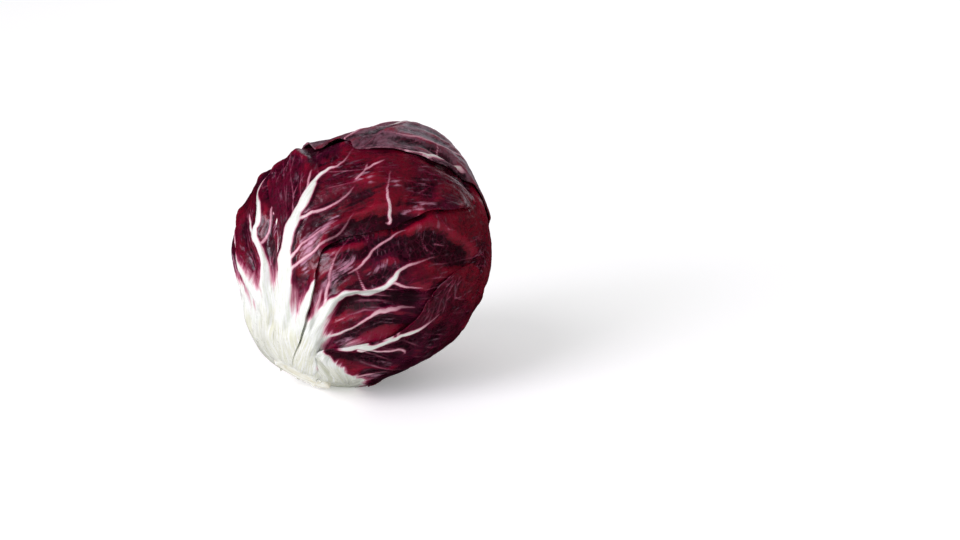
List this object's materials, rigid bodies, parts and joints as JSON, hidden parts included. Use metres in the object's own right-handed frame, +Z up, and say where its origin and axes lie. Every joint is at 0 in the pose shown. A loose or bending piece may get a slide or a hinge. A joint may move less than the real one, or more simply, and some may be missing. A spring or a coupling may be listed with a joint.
{
  "type": "radicchio head",
  "caption": "Round head of red radicchio: crimson wrapper leaves with white ribs folded round a dense heart, on a short stem cut off flush.",
  "frame": {"origin": "middle of the small flat spot that the head rests on, straight below its middle", "axes": "+Z up, +X to the right and +Y away from the viewer; the cut stem points down, to the left and towards the viewer, and the tip points up and away from it"},
  "size_m": [0.1202, 0.1219, 0.1213],
  "materials": {
    "wrapper_leaves": "waxy, satin",
    "heart_leaves": "satin",
    "cut_stem": "matte, freshly cut"
  },
  "bodies": {
    "root": {"cut_stem": "cut_stem", "heart": "heart_leaves", "wrapper_leaf_01": "wrapper_leaves", "wrapper_leaf_02": "wrapper_leaves", "wrapper_leaf_03": "wrapper_leaves", "wrapper_leaf_04": "wrapper_leaves", "wrapper_leaf_05": "wrapper_leaves", "wrapper_leaf_06": "wrapper_leaves", "wrapper_leaf_07": "wrapper_leaves", "wrapper_leaf_08": "wrapper_leaves", "wrapper_leaf_09": "wrapper_leaves", "wrapper_leaf_10": "wrapper_leaves", "wrapper_leaf_11": "wrapper_leaves"}
  },
  "joints": []
}
